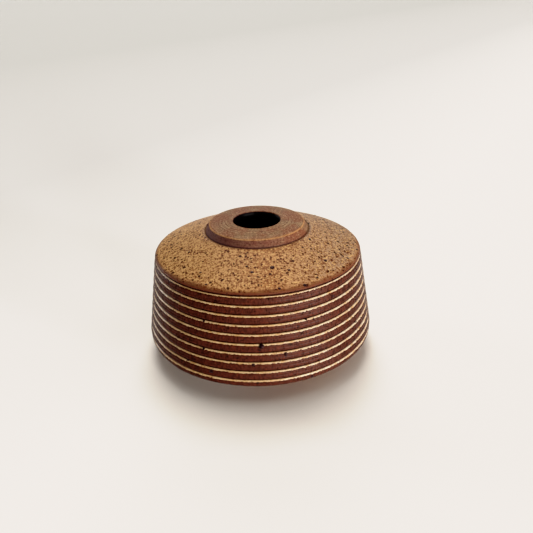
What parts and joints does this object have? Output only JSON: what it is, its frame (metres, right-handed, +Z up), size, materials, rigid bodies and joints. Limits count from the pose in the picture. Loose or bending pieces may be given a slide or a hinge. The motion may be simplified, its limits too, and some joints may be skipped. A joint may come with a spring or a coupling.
{
  "type": "bud vase",
  "caption": "Low, wide stoneware bud vase with a flared dark wall ringed by cream slip lines, a speckled ochre shoulder and a small collared mouth that holds single stems.",
  "frame": {"origin": "centre of the foot ring, on the surface the vase stands on", "axes": "+Z up along the turning axis, out of the mouth; -Y faces the viewer of the picture and +X is the viewer's right"},
  "size_m": [0.101, 0.101, 0.0601],
  "materials": {
    "stoneware": "satin",
    "cream_slip": "satin",
    "ochre_glaze": "matte",
    "dark_glaze": "gloss"
  },
  "bodies": {
    "root": {"clay_body": "stoneware", "slip_line_01": "cream_slip", "slip_line_02": "cream_slip", "slip_line_03": "cream_slip", "slip_line_04": "cream_slip", "slip_line_05": "cream_slip", "slip_line_06": "cream_slip", "slip_line_07": "cream_slip", "slip_line_08": "cream_slip", "slip_line_09": "cream_slip", "slip_line_10": "cream_slip", "shoulder_glaze": "ochre_glaze", "liner_glaze": "dark_glaze"}
  },
  "joints": []
}
